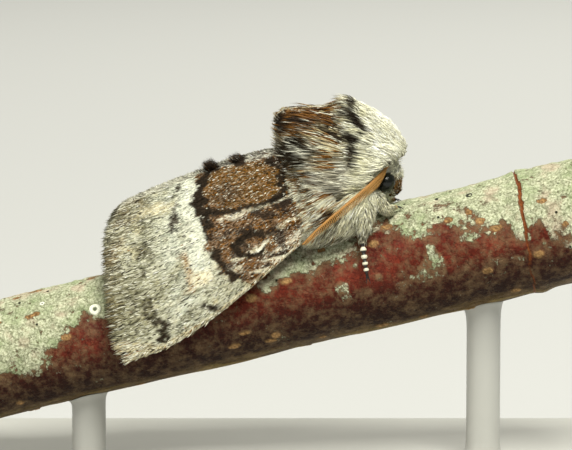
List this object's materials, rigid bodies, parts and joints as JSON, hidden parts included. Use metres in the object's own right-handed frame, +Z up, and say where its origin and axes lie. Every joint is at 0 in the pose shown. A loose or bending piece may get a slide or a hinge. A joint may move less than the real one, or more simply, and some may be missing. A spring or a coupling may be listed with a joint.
{
  "type": "tussock moth model on a twig perch",
  "caption": "Life-size still model of a woolly moth at rest with roofed wings, gripping a cut length of twig held on a flat base by short rods.",
  "frame": {"origin": "middle of the display base's underside, on the floor", "axes": "+X the way the moth faces, level; +Y to the moth's left; +Z up. The twig rises 13.6 degrees towards +X."},
  "size_m": [0.037, 0.024, 0.0219],
  "materials": {
    "bark": "maroon bark with pale lichen, matte",
    "wing_scales": "pale grey and brown wing scales, matte",
    "woolly_coat": "cream hair with brown and black streaks, matte",
    "antenna_comb": "tan comb, satin",
    "eye": "black, glossy, faceted",
    "dark_scales": "dark brown scales, matte",
    "stand": "plain pale display stand, satin"
  },
  "bodies": {
    "root": {"abdomen": "woolly_coat", "antenna_left": "antenna_comb", "antenna_right": "antenna_comb", "eye_left": "eye", "eye_right": "eye", "foreleg_left": "woolly_coat", "foreleg_right": "woolly_coat", "forewing_left": "wing_scales", "forewing_right": "wing_scales", "head": "woolly_coat", "hindleg_left": "woolly_coat", "hindleg_right": "woolly_coat", "hindwing_left": "wing_scales", "hindwing_right": "wing_scales", "midleg_left": "woolly_coat", "midleg_right": "woolly_coat", "palp_left": "dark_scales", "palp_right": "dark_scales", "perch": "bark", "stand_base": "stand", "stand_rod_front": "stand", "stand_rod_rear": "stand", "thorax": "woolly_coat"}
  },
  "joints": []
}
